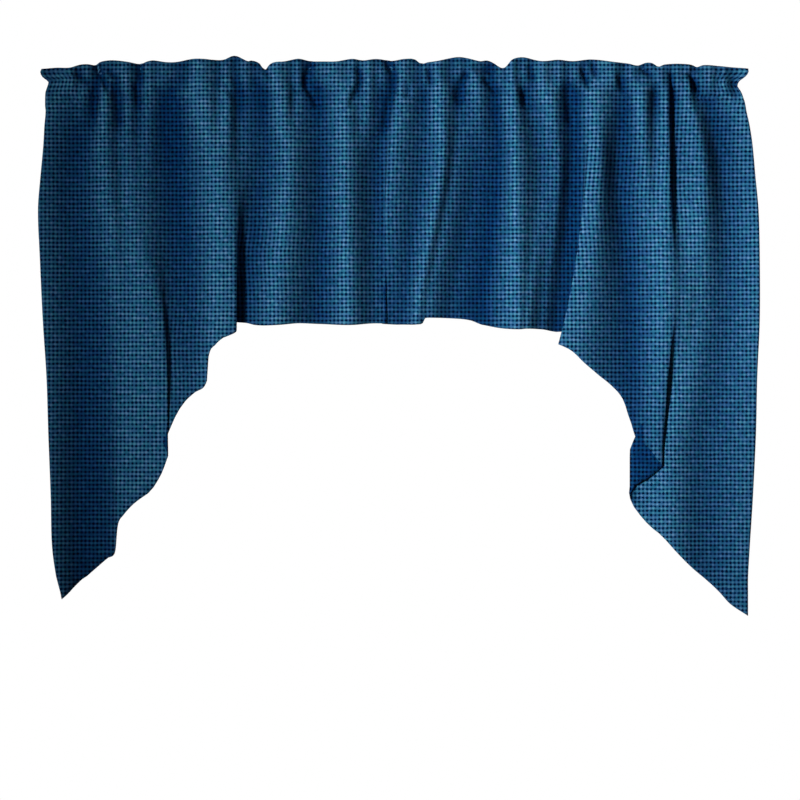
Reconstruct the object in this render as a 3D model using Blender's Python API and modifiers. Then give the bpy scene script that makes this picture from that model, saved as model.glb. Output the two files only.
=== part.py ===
"""Swag valance: an arch-cut cloth panel that hangs in folds from a gathered rod pocket.

The origin is the middle of the rod pocket. +X runs right along the pocket, the front of the
cloth faces -Y, and +Z is up.
"""

import math
from typing import NamedTuple

import bmesh
import bpy

MM = 0.001

# Driving sizes, in millimetres
CLOTH_THICKNESS = 1.5
PIECE_GAP = 0.3
SLANTED_RIM = 0.7
POCKET_HALF_HEIGHT = 20.0
HEADER_HEIGHT = 16.0
TOP_FOLD_RISE = 2.0
END_DROOP = 16.0
DROOP_POWER = 6
HALF_WIDTH = 582.0

# Heights at which the places of the folds are given, measured from the pocket's middle
STITCH_HEIGHT = -POCKET_HALF_HEIGHT
UPPER_HEIGHT = -144.0
LOW_HEIGHT = -382.0
TAIL_HEIGHT = -604.0

# Share of a fold's sideways swell that already shows at the stitches
SWELL_AT_STITCH = 0.3

PANEL_ROWS = 11
PLAIN_STEPS = 3
TUCKED_STEPS = 6
TUCK_SWELL = 140.0
LENGTH_STEPS = 12


class Turn(NamedTuple):
    """A crest or valley of the hanging folds, or a side edge of the cloth.

    stitch, upper, low and tail are its places across the width at the four heights, out_top and
    out_low how far it stands in front of the cloth's middle plane, swell how full the cloth
    bulges sideways on its way to the next turn, and hem where the cloth ends below it.
    """

    stitch: float
    upper: float
    low: float
    tail: float
    out_top: float
    out_low: float
    swell: float
    hem: float


TURNS = (
    Turn(-580, -580, -575, -570, 3, 5, 0, -845),
    Turn(-496, -506, -505, -503, -7, -16, 300, -807),
    Turn(-441, -423, -403, -406, 8, 15, 290, -674),
    Turn(-367, -359, -336, -337, -8, -17, 240, -525),
    Turn(-324, -293, -281, -285, 8, 15, 180, -419),
    Turn(-217, -214, -247, -247, -8, -15, 0, -397),
    Turn(-193, -181, -201, -201, 7, 15, 0, -398),
    Turn(-132, -122, -127, -127, -8, -15, 0, -397),
    Turn(-81, -88, -81, -81, 8, 15, 0, -396),
    Turn(-11, -27, -30, -30, -8, -14, 150, -396),
    Turn(9, -2, -4, -4, 6, -2, 0, -397),
    Turn(37, 29, 11, 11, -5, -1, 0, -397),
    Turn(71, 70, 32, 32, 8, 14, 110, -396),
    Turn(107, 106, 55, 55, -6, -3, 0, -387),
    Turn(134, 134, 94, 94, 6, -8, 0, -386),
    Turn(155, 165, 130, 130, -8, -17, 0, -394),
    Turn(194, 196, 199, 199, 8, 16, 0, -405),
    Turn(214, 232, 224, 224, -6, -2, 0, -405),
    Turn(252, 265, 244, 244, 7, -9, 0, -406),
    Turn(293, 286, 260, 260, -9, -18, 230, -410),
    Turn(324, 319, 297, 291, 8, 15, 0, -441),
    Turn(367, 359, 369, 360, -8, -16, 150, -506),
    Turn(416, 423, 431, 426, 8, 16, 240, -615),
    Turn(457, 462, 462, 407, -8, -12, 0, -718),
    Turn(480, 495, 493, 469, 7, 6, 0, -776),
    Turn(523, 531, 539, 514, -6, -5, 0, -820),
    Turn(580, 594, 598, 592, 4, 5, 0, -875),
)


class SideEdges(NamedTuple):
    """Where the two side edges of the cloth lie at one height."""

    height: float
    left: float
    right: float


SIDE_EDGES = (
    SideEdges(21, -579, 582),
    SideEdges(13, -581, 582),
    SideEdges(5, -575, 574),
    SideEdges(0, -568, 566),
    SideEdges(-8, -569, 566),
    SideEdges(-18, -573, 571),
    SideEdges(-38, -572, 578),
    SideEdges(-49, -571, 579),
    SideEdges(-71, -574, 585),
    SideEdges(-103, -576, 588),
    SideEdges(-156, -582, 594),
    SideEdges(-210, -586, 598),
    SideEdges(-287, -582, 600),
    SideEdges(-392, -576, 600),
    SideEdges(-484, -571, 596),
    SideEdges(-576, -570, 594),
    SideEdges(-681, -565, 587),
    SideEdges(-760, -563, 583),
    SideEdges(-812, -555, 580),
    SideEdges(-845, -541, 582),
    SideEdges(-875, -539, 582),
)


class Gather(NamedTuple):
    """A small ridge (out above 0) or trough that starts at the stitches and fades at end."""

    stitch: float
    low: float
    half_width: float
    out: float
    end: float


GATHERS = (
    Gather(-513, -510, 10, 5, -112),
    Gather(-455, -446, 13, -12, -276),
    Gather(-421, -411, 10, -9, -177),
    Gather(-299, -298, 10, -6, -112),
    Gather(-257, -254, 11, -10, -218),
    Gather(-170, -168, 8, -5, -87),
    Gather(-60, -60, 10, -7, -136),
    Gather(426, 429, 11, -9, -243),
)


class Scallop(NamedTuple):
    """A bump or notch of the header's top edge."""

    place: float
    rise: float
    half_width: float


SCALLOPS = (
    Scallop(-418, -5, 10),
    Scallop(-260, 5, 18),
    Scallop(-213, -13, 11),
    Scallop(45, -7, 13),
    Scallop(114, 4, 30),
    Scallop(176, -12, 12),
    Scallop(217, 5, 16),
    Scallop(400, -7, 10),
)


class Wall(NamedTuple):
    """One height of the heading's section.

    front and back are how far its two walls stand from the gathered line, and front_ripple and
    back_ripple the share of the gathers that each wall keeps there.
    """

    height: float
    front: float
    back: float
    front_ripple: float
    back_ripple: float


HEADING_WALLS = (
    Wall(-POCKET_HALF_HEIGHT + SLANTED_RIM, 0.0, 3.2, 1.0, 1.0),
    Wall(-13.0, 11.5, 10.5, 0.4, 0.25),
    Wall(0.0, 14.5, 13.0, 0.45, 0.2),
    Wall(13.0, 11.5, 10.5, 0.4, 0.25),
    Wall(POCKET_HALF_HEIGHT, 0.0, 3.2, 0.9, 0.9),
    Wall(POCKET_HALF_HEIGHT + HEADER_HEIGHT - TOP_FOLD_RISE, 0.0, 3.4, 1.2, 1.2),
)


def smooth_step(value):
    """Ease from 0 to 1 as value goes from 0 to 1."""
    held = min(max(value, 0.0), 1.0)
    return held * held * (3.0 - 2.0 * held)


def slope_at(knots, values, index):
    """Slope of the smooth curve through the values, from the neighbours of one knot."""
    before = max(index - 1, 0)
    after = min(index + 1, len(knots) - 1)
    return (values[after] - values[before]) / (knots[after] - knots[before])


def curve_through(knots, values, place):
    """Value at place of a smooth curve through values at rising knots, level past its ends."""
    if place <= knots[0]:
        return values[0]
    if place >= knots[-1]:
        return values[-1]
    index = max(i for i, knot in enumerate(knots) if knot <= place)
    span = knots[index + 1] - knots[index]
    share = (place - knots[index]) / span
    return hermite(
        values[index],
        values[index + 1],
        slope_at(knots, values, index) * span,
        slope_at(knots, values, index + 1) * span,
        share,
    )


def hermite(start, end, start_pull, end_pull, share):
    """Cubic from start to end with the given pulls at its two ends."""
    squared = share * share
    cubed = squared * share
    return (
        start * (2.0 * cubed - 3.0 * squared + 1.0)
        + end * (3.0 * squared - 2.0 * cubed)
        + start_pull * (cubed - 2.0 * squared + share)
        + end_pull * (cubed - squared)
    )


def droop(across):
    """How far the heading hangs below its middle at this place across the width."""
    return END_DROOP * min(abs(across) / HALF_WIDTH, 1.0) ** DROOP_POWER


def edge_place(height, right):
    """Place of the left or right side edge at a height."""
    knots = [-row.height for row in SIDE_EDGES]
    values = [row.right if right else row.left for row in SIDE_EDGES]
    return curve_through(knots, values, -height)


def turn_place(index, height):
    """Place of a turn across the width at a height."""
    if index == 0:
        return edge_place(height, right=False)
    if index == len(TURNS) - 1:
        return edge_place(height, right=True)
    turn = TURNS[index]
    knots = (-STITCH_HEIGHT, -UPPER_HEIGHT, -LOW_HEIGHT, -TAIL_HEIGHT)
    return curve_through(knots, (turn.stitch, turn.upper, turn.low, turn.tail), -height)


def depth_share(height):
    """0 at the stitches, where the folds are shallow, to 1 where they hang free."""
    return smooth_step((STITCH_HEIGHT - height) / (STITCH_HEIGHT - UPPER_HEIGHT))


def low_share(height):
    """0 down to the upper height, to 1 at the low height."""
    return smooth_step((UPPER_HEIGHT - height) / (UPPER_HEIGHT - LOW_HEIGHT))


def turn_out(index, height):
    """How far a turn stands in front of the middle plane at a height."""
    turn = TURNS[index]
    deepened = turn.out_top * (1.0 + depth_share(height))
    return deepened + (turn.out_low - deepened) * low_share(height)


def gathers_out(across, height):
    """Depth that the small gathers add at a place."""
    total = 0.0
    for gather in GATHERS:
        fade = 1.0 - smooth_step((STITCH_HEIGHT - height) / (STITCH_HEIGHT - gather.end))
        run = smooth_step((STITCH_HEIGHT - height) / (STITCH_HEIGHT - LOW_HEIGHT))
        middle = gather.stitch + (gather.low - gather.stitch) * run
        reach = (across - middle) / gather.half_width
        total += gather.out * fade * math.exp(-reach * reach)
    return total


def fold_point(place, height):
    """(across, out) of the cloth at a place along the turns and a height.

    A whole number as place is a turn, and what follows it the share of the way to the next.
    """
    index = min(int(place), len(TURNS) - 2)
    share = place - index
    start = turn_place(index, height)
    end = turn_place(index + 1, height)
    swell = TURNS[index].swell * (SWELL_AT_STITCH + (1.0 - SWELL_AT_STITCH) * depth_share(height))
    pull = max(end - start, swell)
    across = hermite(start, end, pull, pull, share)
    rise = smooth_step(share)
    out = turn_out(index, height) * (1.0 - rise) + turn_out(index + 1, height) * rise
    return across, out + gathers_out(across, height)


def cloth_share(index, share, height):
    """Share of the cloth's own length from one turn to the next that lies before a place."""
    points = [fold_point(index + step / LENGTH_STEPS, height) for step in range(LENGTH_STEPS)]
    points.append((turn_place(index + 1, height), turn_out(index + 1, height)))
    lengths = [0.0]
    for start, end in zip(points, points[1:]):
        lengths.append(lengths[-1] + math.dist(start, end))
    steps = [step / LENGTH_STEPS for step in range(LENGTH_STEPS + 1)]
    return curve_through(steps, lengths, share) / lengths[-1]


def hem_height(place):
    """Height of the hem at a place along the turns, falling evenly along the cloth's length."""
    index = min(int(place), len(TURNS) - 2)
    middle = (TURNS[index].hem + TURNS[index + 1].hem) / 2.0
    along = index + cloth_share(index, place - index, middle)
    return curve_through(range(len(TURNS)), [turn.hem for turn in TURNS], along)


def cloth_places():
    """Places along the turns of the mesh's columns, closer where the cloth is tucked."""
    places = []
    for index, turn in enumerate(TURNS[:-1]):
        steps = TUCKED_STEPS if turn.swell >= TUCK_SWELL else PLAIN_STEPS
        places += [index + step / steps for step in range(steps)]
    return places + [len(TURNS) - 1]


def panel_point(place, hem, share):
    """Point of the panel's middle surface, share of the way from the stitches to the hem."""
    start_across = fold_point(place, STITCH_HEIGHT)[0]
    top = STITCH_HEIGHT - PIECE_GAP - droop(start_across)
    height = top + (hem - top) * share
    across, out = fold_point(place, height)
    return across, -out, height


def scallop_rise(across):
    """How far the header's top edge stands above its plain height."""
    total = 0.0
    for scallop in SCALLOPS:
        reach = (across - scallop.place) / scallop.half_width
        total += scallop.rise * math.exp(-reach * reach)
    return total


def heading_section():
    """Stations of the heading's section, up the back wall, over the top fold, down the front.

    Each is (height, offset from the gathered line, share of the gathers kept).
    """
    back = [(wall.height, wall.back, wall.back_ripple) for wall in HEADING_WALLS]
    front = [(wall.height, -wall.front, wall.front_ripple) for wall in HEADING_WALLS]
    last = HEADING_WALLS[-1]
    fold = (POCKET_HALF_HEIGHT + HEADER_HEIGHT, (last.back - last.front) / 2.0, last.front_ripple)
    return back + [fold] + front[::-1]


def heading_point(place, station):
    """Point of the heading's middle surface."""
    height, offset, ripple = station
    across, out = fold_point(place, STITCH_HEIGHT)
    lift = scallop_rise(across) * max(height - POCKET_HALF_HEIGHT, 0.0) / HEADER_HEIGHT
    level = height + lift - droop(across)
    # The side edges of the heading step in and out with its stitches.
    first = smooth_step(1.0 - place)
    last = smooth_step(place - (len(TURNS) - 2))
    side_height = height - END_DROOP
    across += (edge_place(side_height, False) - edge_place(STITCH_HEIGHT, False)) * first
    across += (edge_place(side_height, True) - edge_place(STITCH_HEIGHT, True)) * last
    return across, offset - out * ripple, level


def cloth_sheet(name, columns, rows, point_of, collection, material):
    """A grid whose points are placed by point_of(column, row), with the cloth's thickness."""
    mesh = bpy.data.meshes.new(name)
    grid = bmesh.new()
    bmesh.ops.create_grid(grid, x_segments=columns - 1, y_segments=rows - 1, size=0.5)
    for vertex in grid.verts:
        column = round((vertex.co.x + 0.5) * (columns - 1))
        row = round((vertex.co.y + 0.5) * (rows - 1))
        vertex.co = [value * MM for value in point_of(column, row)]
    bmesh.ops.recalc_face_normals(grid, faces=grid.faces)
    grid.to_mesh(mesh)
    grid.free()
    mesh.materials.append(material)
    sheet = bpy.data.objects.new(name, mesh)
    collection.objects.link(sheet)
    thickness = sheet.modifiers.new("Thickness", "SOLIDIFY")
    thickness.thickness = CLOTH_THICKNESS * MM
    thickness.offset = 0.0
    mesh.shade_smooth()
    return sheet


def woven_cloth():
    """Material of the blue basket weave."""
    material = bpy.data.materials.new("blue basket weave")
    material.use_nodes = True
    shader = material.node_tree.nodes["Principled BSDF"]
    shader.inputs["Base Color"].default_value = (0.035, 0.12, 0.25, 1.0)
    shader.inputs["Roughness"].default_value = 0.9
    shader.inputs["Metallic"].default_value = 0.0
    return material


def build_panel(collection, material):
    """The arch-cut panel in its hanging folds."""
    places = cloth_places()
    hems = [hem_height(place) for place in places]

    def point_of(column, row):
        return panel_point(places[column], hems[column], row / PANEL_ROWS)

    return cloth_sheet("panel", len(places), PANEL_ROWS + 1, point_of, collection, material)


def build_heading(collection, material):
    """The rod pocket and the header above it, as one folded strip."""
    places = cloth_places()
    section = heading_section()

    def point_of(column, row):
        return heading_point(places[column], section[row])

    return cloth_sheet("heading", len(places), len(section), point_of, collection, material)


def main():
    for thing in list(bpy.data.objects):
        bpy.data.objects.remove(thing)
    collection = bpy.data.collections.new("swag valance")
    bpy.context.scene.collection.children.link(collection)
    cloth = woven_cloth()
    build_panel(collection, cloth)
    build_heading(collection, cloth)


main()
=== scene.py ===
"""Swag valance in a coarse blue basket weave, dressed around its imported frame.

The whole valance is one cloth. It starts at the stitched edge behind the rod pocket, runs up the
back wall of the pocket, over the small ruffle, down the front wall and on as the arch-cut panel
with its two long tails. Tables give the places of the folds, the gathers, the creases and the
edges. Sizes in them are millimetres, measured from the middle of the rod pocket.
"""

import logging
import math
from dataclasses import dataclass, field
from enum import Enum

import bmesh
import bpy
import numpy as np
from mathutils import Matrix, Vector


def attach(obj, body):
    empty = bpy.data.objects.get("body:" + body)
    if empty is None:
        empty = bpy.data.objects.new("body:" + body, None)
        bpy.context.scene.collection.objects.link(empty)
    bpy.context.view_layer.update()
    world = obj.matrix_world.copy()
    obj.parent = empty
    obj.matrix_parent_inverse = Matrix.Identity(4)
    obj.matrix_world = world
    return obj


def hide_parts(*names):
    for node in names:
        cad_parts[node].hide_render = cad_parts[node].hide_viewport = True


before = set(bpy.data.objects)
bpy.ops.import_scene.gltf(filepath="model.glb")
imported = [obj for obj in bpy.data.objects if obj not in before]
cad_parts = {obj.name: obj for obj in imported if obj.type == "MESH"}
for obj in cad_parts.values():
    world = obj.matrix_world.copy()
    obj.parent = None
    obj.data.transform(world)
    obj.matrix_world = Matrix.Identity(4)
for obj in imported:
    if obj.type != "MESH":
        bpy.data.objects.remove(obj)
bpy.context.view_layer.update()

LOG = logging.getLogger("swag_valance")

MM = 0.001
TURN_AROUND = 2.0 * math.pi
TINY = 1e-9

Colour = tuple[float, float, float, float]
Socket = bpy.types.NodeSocket


class Side(Enum):
    """The two side edges of the cloth."""

    LEFT = "left"
    RIGHT = "right"


@dataclass(frozen=True)
class Turn:
    """A crest or valley of the hanging folds, or a side edge of the cloth.

    places are where it lies across the width at the stitches and at three heights below them,
    and outs how far it stands in front of the cloth's middle plane there. swell is how full the
    cloth bulges sideways on its way to the next turn, and hem where the cloth ends below it.
    """

    places: tuple[float, float, float, float]
    outs: tuple[float, float, float, float]
    swell: float
    hem: float


TURNS = (
    Turn((-580, -580, -575, -570), (3, 4, 5, 5), 0, -849),
    Turn((-500, -524, -512, -514), (-6, -12, -14, -16), 300, -817),
    Turn((-466, -464, -412, -404), (6, 11, 12, 12), 240, -675),
    Turn((-368, -354, -341, -345), (-9, -18, -12, 11), 120, -523),
    Turn((-310, -286, -281, -285), (8, 15, 15, 15), 180, -420),
    Turn((-212, -213, -246, -247), (-9, -14, -15, -15), 0, -395),
    Turn((-187, -174, -193, -201), (7, 12, 15, 15), 0, -399),
    Turn((-128, -118, -122, -127), (-9, -15, -15, -15), 0, -397),
    Turn((-74, -80, -74, -81), (7, 14, 15, 15), 0, -399),
    Turn((-11, -27, -30, -30), (-8, -15, -8, -8), 130, -396),
    Turn((14, 0, 0, -4), (7, 6, -11, -10), 0, -398),
    Turn((48, 46, 16, 11), (-8, -11, -12, -11), 0, -398),
    Turn((77, 78, 38, 32), (7, 11, 12, 12), 0, -398),
    Turn((107, 98, 54, 47), (-9, -4, 6, 3), 0, -387),
    Turn((137, 140, 98, 94), (4, -14, -12, -11), 0, -388),
    Turn((164, 171, 144, 138), (-9, -18, -18, -17), 0, -398),
    Turn((198, 200, 205, 199), (7, 15, 16, 16), 0, -406),
    Turn((216, 240, 217, 213), (-8, -8, 11, 10), 0, -405),
    Turn((256, 268, 244, 240), (7, -1, -5, -7), 0, -406),
    Turn((290, 292, 270, 230), (-9, -19, -18, -18), 232, -410),
    Turn((332, 334, 308, 233), (6, 12, 11, 11), 0, -442),
    Turn((376, 370, 390, 388), (-7, -16, -16, -14), 60, -560),
    Turn((446, 448, 445, 436), (2, 13, 12, 4), 90, -625),
    Turn((457, 457, 478, 393), (-7, -3, 6, -18), 0, -697),
    Turn((482, 505, 497, 455), (4, 12, 1, 3), 0, -763),
    Turn((510, 539, 544, 514), (-7, -11, -7, -8), 0, -819),
    Turn((580, 594, 598, 592), (5, 9, 9, 5), 0, -876),
)


@dataclass(frozen=True)
class HemPoint:
    """How high the hem lies at a place between two turns, where the cut isn't straight."""

    place: float
    height: float


HEM_POINTS = tuple(
    HemPoint(*row)
    for row in (
        (0.5, -835), (1.12, -806), (1.35, -782), (1.46, -772), (1.56, -726), (1.65, -711),
        (1.8, -692), (2.14, -663), (2.32, -640), (2.38, -628), (2.74, -556), (2.86, -538),
        (3.21, -510), (3.57, -489), (3.6, -450), (3.8, -431), (4.11, -417), (4.33, -409),
        (4.45, -396), (5.35, -399), (6.5, -396), (12.6, -396), (12.8, -388), (14.6, -391),
        (15.5, -404), (19.33, -410), (19.62, -428), (19.8, -434), (20.25, -461), (20.5, -480),
        (20.75, -501), (20.9, -523), (21.07, -572), (21.13, -581), (21.33, -589), (21.72, -606),
        (22.5, -651), (22.85, -666), (22.94, -688), (23.25, -718), (23.5, -733), (23.75, -745),
        (24.5, -793), (25.3, -838), (25.55, -856),
    )
)


@dataclass(frozen=True)
class RufflePoint:
    """A crest (out above 0) or valley of the small gathers above the pocket."""

    place: float
    out: float


RUFFLE = tuple(
    RufflePoint(*row)
    for row in (
        (-580, 0.8), (-567, -2.2), (-529, 3.2), (-518, -1.8), (-503, 1.2), (-483, -2.8),
        (-442, 2.6), (-418, -2.8), (-403, 2.4), (-393, 0.4), (-377, 2.2), (-344, -2.8), (-319, 3.0),
        (-288, -2.6), (-277, 0.6), (-262, -2.2), (-244, 2.4), (-229, -1.8), (-194, 3.4),
        (-171, -1.2), (-158, 2.0), (-144, -2.8), (-103, 3.4), (-78, -1.0), (-66, 1.6), (-58, -1.4),
        (-43, 3.0), (-29, 0.0), (-19, 1.8), (-4, -3.0), (14, 3.2), (39, -1.8), (52, 2.0), (58, 0.2),
        (71, 3.2), (93, -2.6), (106, 1.6), (117, -0.6), (127, 2.0), (157, -2.8), (175, 1.2),
        (183, -0.4), (193, 2.2), (204, -1.6), (216, 2.0), (226, -1.4), (242, 3.2), (258, -2.0),
        (272, 1.6), (283, -0.8), (299, 2.2), (318, -2.8), (358, 3.6), (377, -1.2), (388, 2.0),
        (405, -3.2), (434, 2.4), (446, -1.2), (464, 2.0), (473, -0.8), (482, 1.2), (490, -2.2),
        (516, 3.4), (531, -0.6), (539, 1.6), (554, -2.4), (577, 3.0),
    )
)


@dataclass(frozen=True)
class SideEdges:
    """Where the two side edges of the cloth lie at one height."""

    height: float
    left: float
    right: float


SIDE_EDGES = tuple(
    SideEdges(*row)
    for row in (
        (21, -579, 580), (13, -580, 580), (5, -575, 573), (0, -568, 565), (-8, -569, 561),
        (-18, -572, 566), (-38, -573, 575), (-49, -572, 577), (-71, -574, 582), (-103, -576, 587),
        (-156, -581, 592), (-210, -585, 597), (-287, -582, 599), (-392, -577, 599),
        (-484, -571, 595), (-576, -568, 593), (-681, -564, 588), (-760, -562, 583),
        (-812, -555, 580), (-834, -549, 580), (-875, -541, 580),
    )
)


@dataclass(frozen=True)
class Gather:
    """A small ridge (out above 0) or trough that starts at the stitches and fades at end."""

    stitch: float
    low: float
    half_width: float
    out: float
    end: float


GATHERS = (
    Gather(-513, -510, 10, 5, -112),
    Gather(-491, -490, 7, -7, -130),
    Gather(-455, -440, 12, -12, -560),
    Gather(-402, -404, 13, 6, -330),
    Gather(-421, -411, 10, -9, -177),
    Gather(-290, -288, 9, -9, -150),
    Gather(-270, -268, 8, 4, -150),
    Gather(-257, -254, 11, -10, -218),
    Gather(-166, -163, 7, -8, -95),
    Gather(-60, -60, 9, -8, -136),
    Gather(-41, -40, 7, 4, -136),
    Gather(21, 21, 5, -5, -33),
    Gather(405, 415, 13, 12, -300),
    Gather(428, 428, 8, -11, -280),
    Gather(495, 496, 8, -5, -59),
)


@dataclass(frozen=True)
class TopPoint:
    """A point of the ruffle's uneven top edge."""

    place: float
    height: float


TOP_EDGE = tuple(
    TopPoint(*row)
    for row in (
        (-581, 20.5), (-569, 21.7), (-549, 23.4), (-530, 23.4), (-516, 28.3), (-503, 29.1),
        (-491, 27.9), (-483, 32.8), (-470, 35.3), (-457, 35.3), (-437, 32.8), (-418, 29.9),
        (-404, 34.0), (-395, 35.3), (-375, 32.6), (-359, 32.8), (-332, 37.7), (-313, 37.7),
        (-300, 36.5), (-280, 36.5), (-266, 42.7), (-258, 42.4), (-241, 34.1), (-234, 35.3),
        (-222, 31.0), (-213, 20.3), (-205, 28.5), (-197, 32.2), (-181, 33.6), (-158, 38.0),
        (-138, 34.4), (-116, 33.6), (-96, 33.6), (-70, 37.7), (-50, 35.3), (-30, 37.7), (-4, 34.9),
        (20, 37.9), (33, 37.3), (44, 30.0), (55, 32.4), (72, 34.6), (98, 40.4), (114, 40.2),
        (140, 34.1), (152, 35.3), (162, 31.5), (175, 23.2), (182, 24.5), (193, 36.5), (210, 40.6),
        (241, 34.1), (268, 36.3), (294, 34.2), (322, 37.0), (360, 32.8), (382, 30.5), (399, 27.0),
        (412, 31.4), (423, 31.0), (433, 25.0), (442, 28.5), (466, 29.9), (488, 28.0), (496, 24.6),
        (506, 27.5), (520, 27.2), (541, 24.6), (567, 21.7), (580, 19.8),
    )
)


@dataclass(frozen=True)
class Crease:
    """A soft trough (out below 0) or ridge on the front, along a line of (across, height)."""

    line: tuple[tuple[float, float], ...]
    half_width: float
    out: float


CREASES = (
    Crease(((-522, 16), (-503, -2)), 5, -6),
    Crease(((-488, 28), (-484, 16), (-476, 2), (-472, -10)), 5, -8),
    Crease(((-468, 18), (-453, 4)), 5, -7),
    Crease(((-416, 33), (-416, 18), (-416, 3)), 4, -8),
    Crease(((-458, -8), (-452, -30), (-449, -70)), 8, -8),
    Crease(((-423, -6), (-418, -38)), 4, -8),
    Crease(((-276, -8), (-266, -25)), 4, -6),
    Crease(((-212, 20), (-205, 6)), 4, -5),
    Crease(((-135, 30), (-146, 7), (-144, -8), (-135, -22), (-128, -36)), 5, -7),
    Crease(((-123, -9), (-121, -36)), 4, -5),
    Crease(((-60, 20), (-53, 7), (-58, -10), (-66, -23), (-71, -36)), 5, -7),
    Crease(((-13, 33), (3, 10), (0, -13), (-8, -36), (-16, -79)), 6, -7),
    Crease(((20, -5), (21, -23)), 4, -6),
    Crease(((57, 18), (62, 1)), 6, -7),
    Crease(((118, 11), (108, -3), (107, -28)), 6, -8),
    Crease(((132, 24), (160, 17)), 6, -5),
    Crease(((148, 4), (166, -15)), 4, -5),
    Crease(((207, -10), (212, -38)), 4, -6),
    Crease(((222, 24), (227, 8)), 5, -6),
    Crease(((285, -13), (290, -62)), 8, -6),
    Crease(((326, 28), (330, 12)), 5, -6),
    Crease(((309, 20), (318, -8)), 5, -6),
    Crease(((370, 8), (374, -10)), 6, -5),
    Crease(((408, 22), (420, 11)), 5, -7),
    Crease(((454, 12), (456, -8), (457, -30), (457, -71)), 5, -6),
    Crease(((484, 12), (497, -12)), 5, -7),
    Crease(((557, 0), (561, -22)), 6, -6),
)


@dataclass(frozen=True)
class Wall:
    """One height of the heading's section.

    front and back are how far its two walls stand from the gathered line, and front_ripple and
    back_ripple the share of the gathers that each wall keeps there.
    """

    height: float
    front: float
    back: float
    front_ripple: float
    back_ripple: float


@dataclass(frozen=True)
class SmoothCurve:
    """A smooth curve through values at rising knots, level past its ends."""

    knots: np.ndarray
    values: np.ndarray

    @staticmethod
    def through(knots: list[float], values: list[float]) -> "SmoothCurve":
        """Make a curve from plain lists."""
        return SmoothCurve(np.asarray(knots, float), np.asarray(values, float))

    def slopes(self) -> np.ndarray:
        """Work out the curve's slope at each knot, from its two neighbours.

        Returns:
            The slopes.
        """
        index = np.arange(len(self.knots))
        before = np.maximum(index - 1, 0)
        after = np.minimum(index + 1, len(self.knots) - 1)
        rise = self.values[after] - self.values[before]
        return rise / (self.knots[after] - self.knots[before])

    def at(self, places: np.ndarray) -> np.ndarray:
        """Read the curve.

        Args:
            places: Where to read it, in any order.

        Returns:
            The curve's value at each place.
        """
        held = np.clip(places, self.knots[0], self.knots[-1])
        index = np.clip(np.searchsorted(self.knots, held, side="right") - 1, 0, len(self.knots) - 2)
        span = self.knots[index + 1] - self.knots[index]
        share = (held - self.knots[index]) / span
        slopes = self.slopes()
        return hermite(
            self.values[index],
            self.values[index + 1],
            slopes[index] * span,
            slopes[index + 1] * span,
            share,
        )


def hermite(
    start: np.ndarray,
    end: np.ndarray,
    start_pull: np.ndarray,
    end_pull: np.ndarray,
    share: np.ndarray,
) -> np.ndarray:
    """Cubic between two values.

    Args:
        start: Value at share 0.
        end: Value at share 1.
        start_pull: Slope at share 0.
        end_pull: Slope at share 1.
        share: How far along, from 0 to 1.

    Returns:
        The cubic's value.
    """
    squared = share * share
    cubed = squared * share
    return (
        start * (2.0 * cubed - 3.0 * squared + 1.0)
        + end * (3.0 * squared - 2.0 * cubed)
        + start_pull * (cubed - 2.0 * squared + share)
        + end_pull * (cubed - squared)
    )


def smooth_step(value: np.ndarray) -> np.ndarray:
    """Ease from 0 to 1 as value goes from 0 to 1."""
    held = np.clip(value, 0.0, 1.0)
    return held * held * (3.0 - 2.0 * held)


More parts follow.
